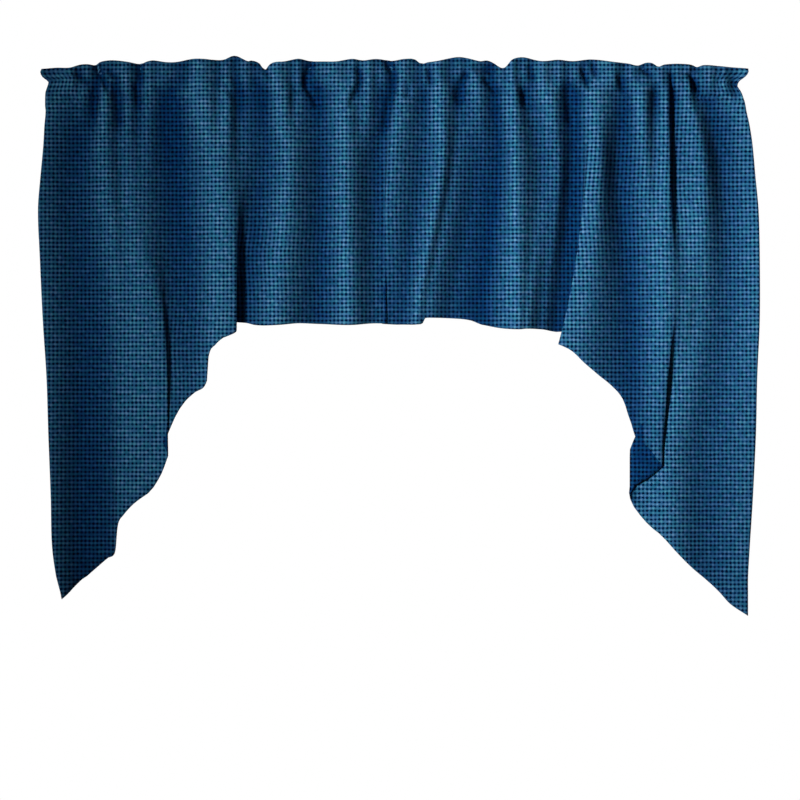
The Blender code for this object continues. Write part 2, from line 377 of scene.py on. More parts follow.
@dataclass(frozen=True)
class FoldLayout:
    """Where the cloth lies at each height: its folds, gathers and side edges."""

    stitch_height: float = -20.0
    upper_height: float = -144.0
    low_height: float = -382.0
    tail_height: float = -604.0
    swell_at_stitch: float = 0.3
    turn_steps: int = 16
    end_droop: float = 16.0
    half_width: float = 582.0
    droop_power: int = 6
    hair: float = 0.00001

    def droop(self, across: np.ndarray) -> np.ndarray:
        """How far the heading hangs below its middle at a place across the width."""
        return self.end_droop * np.minimum(np.abs(across) / self.half_width, 1.0) ** self.droop_power

    def levels(self) -> list[float]:
        """Drops at which the turns' places and depths are given."""
        return [-self.stitch_height, -self.upper_height, -self.low_height, -self.tail_height]

    def edge_place(self, height: np.ndarray, side: Side) -> np.ndarray:
        """Place of a side edge at a height."""
        values = [row.left if side is Side.LEFT else row.right for row in SIDE_EDGES]
        return SmoothCurve.through([-row.height for row in SIDE_EDGES], values).at(-height)

    def turn_place(self, index: int, height: np.ndarray) -> np.ndarray:
        """Find a turn across the width.

        Args:
            index: The turn's number from the left.
            height: Heights at which it is wanted.

        Returns:
            Its place at each height.
        """
        if index == 0:
            return self.edge_place(height, Side.LEFT)
        if index == len(TURNS) - 1:
            return self.edge_place(height, Side.RIGHT)
        return SmoothCurve.through(self.levels(), list(TURNS[index].places)).at(-height)

    def turn_out(self, index: int, height: np.ndarray) -> np.ndarray:
        """How far a turn stands in front of the middle plane at a height."""
        return SmoothCurve.through(self.levels(), list(TURNS[index].outs)).at(-height)

    def gathers_out(self, across: np.ndarray, height: np.ndarray) -> np.ndarray:
        """Work out the depth that the small gathers add.

        Args:
            across: Places across the width.
            height: Heights of the same points.

        Returns:
            How far out the gathers push each point.
        """
        total = np.zeros_like(across)
        below = self.stitch_height - height
        run = smooth_step(below / (self.stitch_height - self.low_height))
        for gather in GATHERS:
            fade = 1.0 - smooth_step(below / (self.stitch_height - gather.end))
            middle = gather.stitch + (gather.low - gather.stitch) * run
            reach = (across - middle) / gather.half_width
            total += gather.out * fade * np.exp(-reach * reach)
        return total

    def section(self, place: float, height: np.ndarray) -> tuple[np.ndarray, np.ndarray]:
        """Where the cloth lies at a place along the turns.

        Args:
            place: A whole number is a turn, and what follows it the share of the way to the next.
            height: Heights at which the cloth is wanted.

        Returns:
            The places across the width, and how far out in front the cloth stands there.
        """
        index = min(int(place), len(TURNS) - 2)
        share = place - index
        start = self.turn_place(index, height)
        end = self.turn_place(index + 1, height)
        hem = (TURNS[index].hem + TURNS[index + 1].hem) / 2.0
        hang = smooth_step((self.stitch_height - height) / (self.stitch_height - hem))
        shown = self.swell_at_stitch + (1.0 - self.swell_at_stitch) * hang
        pull = np.maximum(end - start, TURNS[index].swell * shown)
        across = hermite(start, end, pull, pull, share)
        rise = float(smooth_step(np.array(share)))
        out = self.turn_out(index, height) * (1.0 - rise) + self.turn_out(index + 1, height) * rise
        return across, out + self.gathers_out(across, height)

    def lengths(self, height: float, index: int, steps: int) -> np.ndarray:
        """Measure the cloth between two turns.

        Args:
            height: Height at which it is measured.
            index: The first turn's number.
            steps: How many even steps it is measured in.

        Returns:
            Length from the first turn to each step.
        """
        level = np.array([height])
        nearly_next = index + 1 - self.hair
        points = []
        for step in range(steps + 1):
            across, out = self.section(min(index + step / steps, nearly_next), level)
            points.append((across[0], out[0]))
        runs = np.linalg.norm(np.diff(np.array(points), axis=0), axis=1)
        return np.concatenate([[0.0], np.cumsum(runs)])

    def hem_height(self, place: float) -> float:
        """Find the hem, which falls evenly along the cloth's own length.

        Args:
            place: Place along the turns.

        Returns:
            The hem's height there.
        """
        index = min(int(place), len(TURNS) - 2)
        middle = (TURNS[index].hem + TURNS[index + 1].hem) / 2.0
        lengths = self.lengths(middle, index, self.turn_steps)
        shares = list(np.linspace(0.0, 1.0, self.turn_steps + 1))
        along = SmoothCurve.through(shares, list(lengths / lengths[-1])).at(np.array([place - index]))
        rows = [(float(turn), row.hem) for turn, row in enumerate(TURNS)]
        rows += [(point.place, point.height) for point in HEM_POINTS]
        rows.sort()
        hems = SmoothCurve.through([row[0] for row in rows], [row[1] for row in rows])
        return float(hems.at(index + along)[0])


@dataclass
class Grid:
    """Points of the cloth's middle surface, as rows from the back edge to the hem.

    across and down are each point's place on the flat cloth, in metres, and woven its place
    across the weave. out is how far it stands in front of its row's mean, and height how high it
    lies, in millimetres.
    """

    points: np.ndarray
    across: np.ndarray
    down: np.ndarray
    woven: np.ndarray
    out: np.ndarray
    height: np.ndarray
    normals: np.ndarray = field(init=False)

    def __post_init__(self) -> None:
        """Work out the outward normal of each point from its neighbours."""
        along = np.gradient(self.points, axis=1)
        down = np.gradient(self.points, axis=0)
        facing = np.cross(down, along)
        size = np.linalg.norm(facing, axis=2, keepdims=True)
        self.normals = facing / np.maximum(size, TINY)


@dataclass
class NodeTree:
    """Short ways to add and link shader nodes."""

    tree: bpy.types.NodeTree

    def add(self, kind: str, **settings: object) -> bpy.types.Node:
        """Add a node.

        Args:
            kind: The node's type.
            **settings: Its properties, by name.

        Returns:
            The node.
        """
        node = self.tree.nodes.new(kind)
        for name, value in settings.items():
            setattr(node, name, value)
        return node

    def link(self, output: Socket, target: Socket) -> None:
        """Link an output to an input."""
        self.tree.links.new(output, target)

    def feed(self, value: object, target: Socket) -> None:
        """Give an input its value.

        Args:
            value: A plain number, a plain colour or another node's output.
            target: The input.
        """
        if isinstance(value, (int, float, tuple)):
            target.default_value = value
        else:
            self.link(value, target)

    def maths(self, operation: str, *values: object) -> Socket:
        """Work out one sum.

        Args:
            operation: The kind of sum.
            *values: Its plain numbers or outputs, in order.

        Returns:
            The result.
        """
        node = self.add("ShaderNodeMath", operation=operation)
        for value, target in zip(values, node.inputs):
            self.feed(value, target)
        return node.outputs["Value"]

    def wave(self, value: Socket) -> Socket:
        """A wave that is 1 at whole numbers and 0 half way between them."""
        turned = self.maths("COSINE", self.maths("MULTIPLY", value, TURN_AROUND))
        return self.maths("MULTIPLY_ADD", turned, 0.5, 0.5)

    def step(self, value: Socket, low: float, high: float) -> Socket:
        """Make a soft step.

        Args:
            value: What the step follows.
            low: Where it leaves 0.
            high: Where it reaches 1.

        Returns:
            The step.
        """
        node = self.add("ShaderNodeMapRange", interpolation_type="SMOOTHSTEP")
        self.link(value, node.inputs["Value"])
        node.inputs["From Min"].default_value = low
        node.inputs["From Max"].default_value = high
        return node.outputs["Result"]

    def channel(self, vector: Socket, name: str) -> Socket:
        """Take one channel out of a vector.

        Args:
            vector: The vector.
            name: The channel, "X", "Y" or "Z".

        Returns:
            The channel's number.
        """
        node = self.add("ShaderNodeSeparateXYZ")
        self.link(vector, node.inputs["Vector"])
        return node.outputs[name]

    def noise(self, place: Socket, scale: float, detail: float, output: str = "Fac") -> Socket:
        """Read soft noise.

        Args:
            place: Where it is read.
            scale: How fine it is.
            detail: How many finer layers lie over it.
            output: "Fac" for one number, "Color" for three.

        Returns:
            The noise.
        """
        node = self.add("ShaderNodeTexNoise")
        self.link(place, node.inputs["Vector"])
        node.inputs["Scale"].default_value = scale
        node.inputs["Detail"].default_value = detail
        return node.outputs[output]

    def mix_value(self, share: Socket, low: Socket, high: Socket) -> Socket:
        """Mix two numbers.

        Args:
            share: How much of the second one is wanted.
            low: The first number.
            high: The second number.

        Returns:
            The number between them.
        """
        node = self.add("ShaderNodeMix", data_type="FLOAT")
        for value, place in ((share, 0), (low, 2), (high, 3)):
            self.feed(value, node.inputs[place])
        return node.outputs[0]

    def mix_colour(self, blend: str, share: object, low: object, high: object) -> Socket:
        """Mix two colours.

        Args:
            blend: The way in which they are blended.
            share: How much of the blend is wanted.
            low: The first colour.
            high: The second colour.

        Returns:
            The mixed colour.
        """
        node = self.add("ShaderNodeMix", data_type="RGBA", blend_type=blend)
        for value, place in ((share, 0), (low, 6), (high, 7)):
            self.feed(value, node.inputs[place])
        return node.outputs[2]

    def ramp(self, value: Socket, stops: tuple[tuple[float, Colour], ...]) -> Socket:
        """Run through colours.

        Args:
            value: The place along the ramp, from 0 to 1.
            stops: Each colour's place and the colour.

        Returns:
            The colour at the value.
        """
        node = self.add("ShaderNodeValToRGB")
        elements = node.color_ramp.elements
        while len(elements) < len(stops):
            elements.new(0.5)
        for element, (position, colour) in zip(elements, stops):
            element.position = position
            element.color = colour
        self.link(value, node.inputs["Fac"])
        return node.outputs["Color"]


@dataclass(frozen=True)
class BasketWeave:
    """Coarse blue basket weave, dyed in the yarn, with a dry and slightly fuzzy face.

    Each tone says how much lighter (above 0) or darker a part of the weave is, each range where a
    soft step starts and ends, and each spread how far a chance goes and the least that it gives.
    """

    pitch_across: float = 6.5
    pitch_down: float = 7.1
    strands: float = 4.0
    wobble: float = 0.8
    wobble_scale: float = 95.0
    # The gap and rib colours hold painted shade in the sunk places between yarns, over the yarn's own dye.
    gap_colour: Colour = (0.0002, 0.005, 0.024, 1.0)
    rib_colour: Colour = (0.002, 0.043, 0.124, 1.0)
    yarn_colour: Colour = (0.032, 0.134, 0.243, 1.0)
    # Colour of the painted highlights where the yarns cross.
    painted_glint_colour: Colour = (0.088, 0.215, 0.340, 1.0)
    rib_stop: float = 0.4
    yarn_stop: float = 0.76
    green_tint: Colour = (0.75, 1.03, 0.93, 1.0)
    steel_tint: Colour = (1.20, 0.97, 1.05, 1.0)
    tint_scale: float = 0.6
    tint_range: tuple[float, float] = (0.36, 0.64)
    # Colour multiplied in as painted shade inside the folds.
    valley_shade_colour: Colour = (0.06, 0.24, 0.42, 1.0)
    hole_range: tuple[float, float] = (0.2, 0.62)
    hole_size_spread: tuple[float, float] = (0.5, 0.72)
    hole_depth_spread: tuple[float, float] = (0.6, 0.55)
    rib_range: tuple[float, float] = (0.25, 0.75)
    float_range: tuple[float, float] = (-0.15, 0.15)
    plain_tone: float = 0.78
    rib_tone: float = -0.20
    furrow_tone: float = -0.13
    hole_tone: float = -0.56
    strand_tone: float = 0.06
    streak_tone: float = 0.36
    streak_stretch: float = 0.22
    painted_glint_spread: tuple[float, float] = (0.34, -0.07)
    rib_relief: float = -0.35
    hole_relief: float = -0.65
    strand_height: float = 0.12
    relief: float = 0.9
    relief_strength: float = 0.7
    roughness: float = 0.95
    specular: float = 0.03
    sheen: float = 0.015
    sheen_roughness: float = 0.5
    sheen_colour: Colour = (0.35, 0.62, 0.9, 1.0)

    def material(self) -> bpy.types.Material:
        """Build the material.

        Returns:
            A material that reads the cloth's own UV map, in metres, and the painted shade of its folds.
        """
        material = bpy.data.materials.new("blue_basket_weave")
        material.use_nodes = True
        tree = NodeTree(material.node_tree)
        cells = self.cells(tree)
        across = tree.channel(cells, "X")
        down = tree.channel(cells, "Y")
        row_gap = tree.wave(down)
        column_gap = tree.wave(across)
        hole = self.holes(tree, cells, row_gap, column_gap)
        rib = tree.step(row_gap, *self.rib_range)
        strand = self.strand_relief(tree, across, down)
        plain = self.tone(tree, hole, rib, strand, across, down)
        tone = tree.maths("ADD", plain, self.painted_glints(tree, cells, row_gap, column_gap))
        stops = (
            (0.0, self.gap_colour),
            (self.rib_stop, self.rib_colour),
            (self.yarn_stop, self.yarn_colour),
            (1.0, self.painted_glint_colour),
        )
        colour = self.tinted(tree, cells, tree.ramp(tone, stops))
        shader = material.node_tree.nodes["Principled BSDF"]
        shader.inputs["Roughness"].default_value = self.roughness
        shader.inputs["Specular IOR Level"].default_value = self.specular
        shader.inputs["Sheen Weight"].default_value = self.sheen
        shader.inputs["Sheen Roughness"].default_value = self.sheen_roughness
        shader.inputs["Sheen Tint"].default_value = self.sheen_colour
        tree.link(self.paint_fold_shade(tree, colour), shader.inputs["Base Color"])
        tree.link(self.bump(tree, hole, rib, strand), shader.inputs["Normal"])
        return material

    def cells(self, tree: NodeTree) -> Socket:
        """Find the weave's own coordinates, with the yarns a little uneven.

        Args:
            tree: The material's nodes.

        Returns:
            Coordinates with one unit to each repeat.
        """
        place = tree.add("ShaderNodeUVMap", uv_map=ValanceCloth.UV_NAME).outputs["UV"]
        uneven = tree.noise(place, scale=self.wobble_scale, detail=1.0, output="Color")
        shift = tree.add("ShaderNodeVectorMath", operation="MULTIPLY_ADD")
        tree.link(uneven, shift.inputs[0])
        shift.inputs[1].default_value = (self.wobble * MM * 2.0, self.wobble * MM * 2.0, 0.0)
        tree.link(place, shift.inputs[2])
        scaled = tree.add("ShaderNodeMapping", vector_type="POINT")
        tree.link(shift.outputs["Vector"], scaled.inputs["Vector"])
        repeats = (1.0 / (self.pitch_across * MM), 1.0 / (self.pitch_down * MM), 1.0)
        scaled.inputs["Scale"].default_value = repeats
        return scaled.outputs["Vector"]

    def chance(self, tree: NodeTree, cells: Socket, offset: float) -> tuple[Socket, Socket]:
        """Draw two even chances from 0 to 1 for each repeat of the weave.

        Args:
            tree: The material's nodes.
            cells: The weave's coordinates.
            offset: 0.5 for repeats with a gap in their middle, 0 for those with a crossing there.

        Returns:
            The two chances.
        """
        moved = tree.add("ShaderNodeVectorMath", operation="ADD")
        tree.link(cells, moved.inputs[0])
        moved.inputs[1].default_value = (offset, offset, 0.5)
        whole = tree.add("ShaderNodeVectorMath", operation="FLOOR")
        tree.link(moved.outputs["Vector"], whole.inputs[0])
        noise = tree.add("ShaderNodeTexWhiteNoise", noise_dimensions="3D")
        tree.link(whole.outputs["Vector"], noise.inputs["Vector"])
        return noise.outputs["Value"], tree.channel(noise.outputs["Color"], "Y")

    def holes(self, tree: NodeTree, cells: Socket, row_gap: Socket, column_gap: Socket) -> Socket:
        """Find the pinholes between yarns, each of its own size and depth.

        Args:
            tree: The material's nodes.
            cells: The weave's coordinates.
            row_gap: 1 between two level yarns, 0 on one.
            column_gap: 1 between two upright yarns, 0 on one.

        Returns:
            How deep the hole is, 0 on the yarns.
        """
        size, depth = self.chance(tree, cells, 0.5)
        between = tree.maths("MULTIPLY", row_gap, column_gap)
        wide = tree.maths("MULTIPLY_ADD", size, *self.hole_size_spread)
        deep = tree.maths("MULTIPLY_ADD", depth, *self.hole_depth_spread)
        opened = tree.maths("MULTIPLY", between, wide)
        return tree.maths("MULTIPLY", tree.step(opened, *self.hole_range), deep)

    def painted_glints(self, tree: NodeTree, cells: Socket, row_gap: Socket, column_gap: Socket) -> Socket:
        """Paint highlights on the spots where two yarns cross, some crossings more than others.

        Args:
            tree: The material's nodes.
            cells: The weave's coordinates.
            row_gap: 1 between two level yarns, 0 on one.
            column_gap: 1 between two upright yarns, 0 on one.

        Returns:
            How much lighter each spot is.
        """
        on_row = tree.maths("SUBTRACT", 1.0, row_gap)
        on_column = tree.maths("SUBTRACT", 1.0, column_gap)
        bright = self.chance(tree, cells, 0.0)[0]
        spot = tree.maths("MULTIPLY", tree.maths("MULTIPLY", on_row, on_column), bright)
        return tree.maths("MULTIPLY_ADD", spot, *self.painted_glint_spread)

    def tinted(self, tree: NodeTree, cells: Socket, colour: Socket) -> Socket:
        """Let the yarn's dye wander a little between a greener and a greyer blue.

        Args:
            tree: The material's nodes.
            cells: The weave's coordinates.
            colour: The yarn's own colour.

        Returns:
            The colour with its tint.
        """
        wander = tree.step(tree.noise(cells, scale=self.tint_scale, detail=1.0), *self.tint_range)
        tint = tree.mix_colour("MIX", wander, self.green_tint, self.steel_tint)
        return tree.mix_colour("MULTIPLY", 1.0, colour, tint)

    def strand_relief(self, tree: NodeTree, across: Socket, down: Socket) -> Socket:
        """Raise the single strands of each yarn, upright on one float and level on the next.

        Args:
            tree: The material's nodes.
            across: Repeats across the weave.
            down: Repeats down the weave.

        Returns:
            How high the strand is.
        """
        upright = tree.wave(tree.maths("MULTIPLY", across, self.strands))
        level = tree.wave(tree.maths("MULTIPLY", down, self.strands))
        over_row = tree.maths("SINE", tree.maths("MULTIPLY", across, math.pi))
        over_column = tree.maths("SINE", tree.maths("MULTIPLY", down, math.pi))
        over = tree.maths("MULTIPLY", over_row, over_column)
        return tree.mix_value(tree.step(over, *self.float_range), level, upright)

    def tone(
        self, tree: NodeTree, hole: Socket, rib: Socket, strand: Socket, across: Socket, down: Socket
    ) -> Socket:
        """Work out how light the yarn is: the weave's own pattern, with painted shade in its pinholes, ribs
        and furrows and painted light on its raised strands.

        Args:
            tree: The material's nodes.
            hole: The pinholes between yarns.
            rib: The ribs between level yarns.
            strand: The strands' height.
            across: Repeats across the weave.
            down: Repeats down the weave.

        Returns:
            About 0 in the gaps between yarns, the rib's stop on the ribs and the yarn's on top.
        """
        yarn_place = tree.add("ShaderNodeCombineXYZ")
        tree.link(tree.maths("MULTIPLY", across, self.streak_stretch), yarn_place.inputs["X"])
        tree.link(down, yarn_place.inputs["Y"])
        streak = tree.noise(yarn_place.outputs["Vector"], scale=1.0, detail=2.0)
        ribbed = tree.maths("MULTIPLY_ADD", rib, self.rib_tone, self.plain_tone)
        furrowed = tree.maths("MULTIPLY_ADD", tree.wave(across), self.furrow_tone, ribbed)
        holed = tree.maths("MULTIPLY_ADD", hole, self.hole_tone, furrowed)
        fine = tree.maths("MULTIPLY_ADD", strand, self.strand_tone, holed)
        return tree.maths("MULTIPLY_ADD", tree.maths("SUBTRACT", streak, 0.5), self.streak_tone, fine)

    def paint_fold_shade(self, tree: NodeTree, colour: Socket) -> Socket:
        """Paint shade into the colour inside the folds, darker and more saturated where the cloth lies
        deeper.
        """
        depth = tree.add("ShaderNodeAttribute", attribute_name=ValanceCloth.FOLD_SHADE_NAME)
        return tree.mix_colour("MULTIPLY", depth.outputs["Fac"], colour, self.valley_shade_colour)

    def bump(self, tree: NodeTree, hole: Socket, rib: Socket, strand: Socket) -> Socket:
        """Give the weave its relief: raised yarns, lower ribs, sunk gaps and fine strands.

        Args:
            tree: The material's nodes.
            hole: The pinholes between yarns.
            rib: The ribs between level yarns.
            strand: The strands' height.

        Returns:
            The bumped normal.
        """
        lowered = tree.maths("MULTIPLY_ADD", rib, self.rib_relief, 1.0)
        sunk = tree.maths("MULTIPLY_ADD", hole, self.hole_relief, lowered)
        node = tree.add("ShaderNodeBump")
        node.inputs["Strength"].default_value = self.relief_strength
        node.inputs["Distance"].default_value = self.relief * MM
        tree.link(tree.maths("MULTIPLY_ADD", strand, self.strand_height, sunk), node.inputs["Height"])
        return node.outputs["Normal"]


@dataclass(frozen=True)
class SewingThread:
    """Blue thread, a little smoother than the cloth."""

    colour: Colour = (0.010, 0.060, 0.145, 1.0)
    shade: float = 0.55
    roughness: float = 0.9
    specular: float = 0.1
    twist_pitch: float = 0.9

    def material(self) -> bpy.types.Material:
        """Build the material.

        Returns:
            Thread with the fine slant of its twist in bands of painted shade, on the piece's own place.
        """
        material = bpy.data.materials.new("blue_sewing_thread")
        material.use_nodes = True
        tree = NodeTree(material.node_tree)
        place = tree.add("ShaderNodeTexCoord").outputs["Object"]
        slant = tree.maths("ADD", tree.channel(place, "X"), tree.channel(place, "Z"))
        twist = tree.wave(tree.maths("MULTIPLY", slant, 1.0 / (self.twist_pitch * MM)))
        # The darker bands of the twist are painted shade in its grooves.
        dark = tuple(part * self.shade for part in self.colour[:3]) + (1.0,)
        shader = material.node_tree.nodes["Principled BSDF"]
        shader.inputs["Roughness"].default_value = self.roughness
        shader.inputs["Specular IOR Level"].default_value = self.specular
        tree.link(tree.ramp(twist, ((0.0, self.colour), (1.0, dark))), shader.inputs["Base Color"])
        return material


@dataclass
class ValanceCloth:
    """The whole valance as one cloth, from the edge behind the pocket to the hem."""

    UV_NAME = "cloth"
    FOLD_SHADE_NAME = "painted_fold_shade"

    layout: FoldLayout = field(default_factory=FoldLayout)
    thickness: float = 1.5
    hem_thickness: float = 2.6
    hem_width: float = 11.0
    pocket_half_height: float = 20.0
    header_height: float = 16.0
    fold_rise: float = 2.0
    column_spacing: float = 3.4
    least_columns: int = 4
    heading_rows: int = 44
    panel_rows: int = 74
    row_crowding: float = 1.15
    length_steps: int = 24
    measured_rows: int = 44
    # How far back in a fold a point lies when it gets the full painted shade, low down and near the
    # stitches.
    fold_reach: float = 17.0
    gather_reach: float = 6.0
    ruffle_depth: float = 1.4
    front_rest: float = 9.5
    rest_fade: float = 110.0
    take_up: float = 0.28
    wall_share: float = 0.5
    settling: float = 120.0
    # Where the painted fold shade is lightened under the right tail's tuck, from which height, by how much,
    # and how softly at its sides.
    tuck_places: tuple[float, float] = (22.9, 24.6)
    tuck_height: float = -150.0
    tuck_shade_cut: float = 0.8
    tuck_edges: tuple[float, float] = (0.2, 0.6)
    ruffle_start: float = 4.0
    ruffle_run: float = 1.2

    def walls(self) -> tuple[Wall, ...]:
        """Lay out the heading's section.

        Returns:
            Its walls at each height, from the lower stitches to the ruffle's top.
        """
        return (
            Wall(-self.pocket_half_height, self.front_rest, 3.2, 1.0, 1.0),
            Wall(-13.0, 10.5, 10.5, 0.9, 0.25),
            Wall(0.0, 11.0, 13.0, 0.6, 0.2),
            Wall(13.0, 10.0, 10.5, 0.35, 0.25),
            Wall(self.pocket_half_height, 8.0, 3.2, 0.3, 0.3),
            Wall(self.pocket_half_height + self.header_height - self.fold_rise, 6.0, 3.4, 0.35, 0.35),
        )

    def places(self) -> list[float]:
        """Choose the columns, about evenly along the cloth's length.

        Returns:
            Their places along the turns.
        """
        found: list[float] = []
        for index in range(len(TURNS) - 1):
            length = self.layout.lengths(self.layout.low_height, index, self.length_steps)[-1]
            steps = max(self.least_columns, round(length / self.column_spacing))
            found += [index + step / steps for step in range(steps)]
        return found + [float(len(TURNS) - 1)]

    def stations(self) -> np.ndarray:
        """Rows of the heading.

        Returns:
            One row each of height, offset from the gathered line and share of the gathers kept,
            up the back wall, over the top fold and down the front wall.
        """
        walls = self.walls()
        last = walls[-1]
        top = self.pocket_half_height + self.header_height
        fold = (top, (last.back - last.front) / 2.0, last.front_ripple)
        back = [(wall.height, wall.back, wall.back_ripple) for wall in walls]
        front = [(wall.height, -wall.front, wall.front_ripple) for wall in walls]
        corners = np.array(back + [fold] + front[::-1])
        knots = list(range(len(corners)))
        wanted = np.linspace(0.0, len(corners) - 1.0, self.heading_rows)
        return np.stack([SmoothCurve.through(knots, list(row)).at(wanted) for row in corners.T], axis=1)

    def heading_column(self, place: float, stations: np.ndarray, top_edge: SmoothCurve) -> np.ndarray:
        """Points of one column of the heading.

        Args:
            place: Place along the turns.
            stations: The heading's rows.
            top_edge: Height of the ruffle's top edge across the width.

        Returns:
            Across, out and height of each point.
        """
        layout = self.layout
        height, offset, ripple = stations.T
        stitch = np.full(len(height), layout.stitch_height)
        across, out = layout.section(place, stitch)
        plain_top = self.pocket_half_height + self.header_height - layout.droop(across)
        lift = (top_edge.at(across) - plain_top) * np.maximum(height - self.pocket_half_height, 0.0)
        level = height - layout.droop(across) + lift / self.header_height
        side_height = height - layout.end_droop
        for side, nearness in ((Side.LEFT, 1.0 - place), (Side.RIGHT, place - (len(TURNS) - 2))):
            shift = layout.edge_place(side_height, side) - layout.edge_place(stitch, side)
            across = across + shift * smooth_step(np.array(nearness))
        ruffle = SmoothCurve.through([p.place for p in RUFFLE], [p.out for p in RUFFLE]).at(across)
        start = np.where(offset > 0.0, self.pocket_half_height - self.ruffle_start, -self.pocket_half_height)
        shown = smooth_step((height - start) / (self.pocket_half_height * self.ruffle_run))
        out = out * ripple + ruffle * self.ruffle_depth * shown
        return np.stack([across, out - offset, level], axis=1)

    def panel_column(self, place: float) -> np.ndarray:
        """Points of one column of the panel, below the stitches.

        Args:
            place: Place along the turns.

        Returns:
            Across, out and height of each point.
        """
        layout = self.layout
        start = layout.section(place, np.array([layout.stitch_height]))[0]
        top = layout.stitch_height - layout.droop(start)[0]
        share = (np.arange(1, self.panel_rows + 1) / self.panel_rows) ** self.row_crowding
        height = top + (layout.hem_height(place) - top) * share
        across, out = layout.section(place, height)
        rest = self.front_rest * (1.0 - smooth_step((top - height) / self.rest_fade))
        return np.stack([across, out + rest, height], axis=1)

    def creases_out(self, across: np.ndarray, height: np.ndarray) -> np.ndarray:
        """Work out the depth that the creases add on the front.

        Args:
            across: Places across the width.
            height: Heights of the same points.

        Returns:
            How far out the creases push each point.
        """
        total = np.zeros_like(across)
        for crease in CREASES:
            nearest = np.full_like(across, np.inf)
            for start, end in zip(crease.line, crease.line[1:]):
                run = np.array([end[0] - start[0], end[1] - start[1]], float)
                reach = np.stack([across - start[0], height - start[1]], axis=-1)
                share = np.clip(reach @ run / (run @ run), 0.0, 1.0)
                nearest = np.minimum(nearest, np.linalg.norm(reach - share[..., None] * run, axis=-1))
            apart = nearest / crease.half_width
            total += crease.out * np.exp(-apart * apart)
        return total

    def grid(self) -> Grid:
        """Lay the cloth out.

        Returns:
            The middle surface's points, with the cloth's own flat coordinates.
        """
        stations = self.stations()
        top_edge = SmoothCurve.through([p.place for p in TOP_EDGE], [p.height for p in TOP_EDGE])
        places = self.places()
        columns = []
        for place in places:
            heading = self.heading_column(place, stations, top_edge)
            columns.append(np.concatenate([heading, self.panel_column(place)]))
        laid = np.stack(columns, axis=1)
        across, out, height = laid[..., 0], laid[..., 1], laid[..., 2]
        fold = int(np.argmax(stations[:, 0]))
        front = np.arange(len(laid)) > fold
        out = out + self.creases_out(across, height) * front[:, None]
        level = out.mean(axis=1, keepdims=True)
        points = np.stack([across, -out, height], axis=2) * MM
        down = height.copy()
        down[:fold] = 2.0 * height[fold] - height[:fold]
        levels = np.linspace(self.layout.stitch_height, TURNS[-1].hem, self.measured_rows)
        laid = np.array([self.layout.section(place, levels) for place in places])
        flat = self.read_down(levels, self.flat_across(places, levels, laid), height) * MM
        woven = self.read_down(levels, self.weave_across(laid), height) * MM
        return Grid(points, flat, down * MM, woven, out - level, height)

    def weave_across(self, laid: np.ndarray) -> np.ndarray:
        """Find where the cloth lies across the weave.

        The yarns hang straight down and keep their pitch across the width. A steep wall of a fold
        takes up a little more weave, which is given back over the folds beside it.

        Args:
            laid: Place across and out of each column at the measured heights.

        Returns:
            Distance across the weave, of each column at these heights.
        """
        step = np.diff(laid, axis=0)
        aside = np.abs(step[:, 0])
        extra = np.maximum(self.wall_share * np.linalg.norm(step, axis=1) - aside, 0.0)
        woven = laid[:, 0].copy()
        shift = np.zeros(laid.shape[2])
        for index in range(len(step)):
            shift = shift * np.exp(-aside[index] / self.settling) + extra[index]
            woven[index + 1] += shift
        return woven

    def flat_across(self, places: list[float], levels: np.ndarray, laid: np.ndarray) -> np.ndarray:
        """Find where the cloth lies across its flat cut.

        A fold takes up the same width of flat cloth at every height. What its run there doesn't
        need is counted as gathered in its valley.

        Args:
            places: Places of the columns along the turns.
            levels: The measured heights.
            laid: Place across and out of each column at these heights.

        Returns:
            Distance from the left edge of the flat cloth, of each column at these heights.
        """
        run = np.cumsum(np.linalg.norm(np.diff(laid, axis=0), axis=1), axis=0)
        run = np.concatenate([np.zeros((1, len(levels))), run])
        at = np.array(places)
        flat = run.copy()
        for valley in range(1, len(TURNS) - 1, 2):
            before, after = np.searchsorted(at, [valley - 1, valley + 1])
            length = run[after] - run[before]
            spare = length[levels >= TURNS[valley].hem].max() - length
            eased = smooth_step((at - (valley - self.take_up)) / (2.0 * self.take_up))
            flat += eased[:, None] * spare[None, :]
        return flat

    @staticmethod
    def read_down(levels: np.ndarray, values: np.ndarray, height: np.ndarray) -> np.ndarray:
        """Read what is known at the measured heights at the height of every point.

        Args:
            levels: The measured heights, from the top down.
            values: A row of values at these heights for each column of the cloth.
            height: Height of every point.

        Returns:
            The value at every point.
        """
        held = np.clip(-height, -levels[0], -levels[-1])
        columns = [np.interp(held[:, index], -levels, row) for index, row in enumerate(values)]
        return np.stack(columns, axis=1)

    def build(self, finish: BasketWeave) -> tuple[bpy.types.Object, Grid]:
        """Make the cloth.

        Args:
            finish: The cloth's weave.

        Returns:
            The finished piece and the grid that it was made from.
        """
        grid = self.grid()
        rows, columns = grid.points.shape[:2]
        index = np.arange(rows * columns).reshape(rows, columns)
        faces = np.stack([index[:-1, :-1], index[1:, :-1], index[1:, 1:], index[:-1, 1:]], axis=-1)
        mesh = bpy.data.meshes.new("valance_cloth")
        mesh.from_pydata(grid.points.reshape(-1, 3).tolist(), [], faces.reshape(-1, 4).tolist())
        mesh.materials.append(finish.material())
        self.map_weave(mesh, grid)
        piece = bpy.data.objects.new("valance_cloth", mesh)
        bpy.context.scene.collection.objects.link(piece)
        self.thicken(piece, grid)
        self.mark_fold_shade(piece.data, grid)
        piece.data.shade_smooth()
        return piece, grid

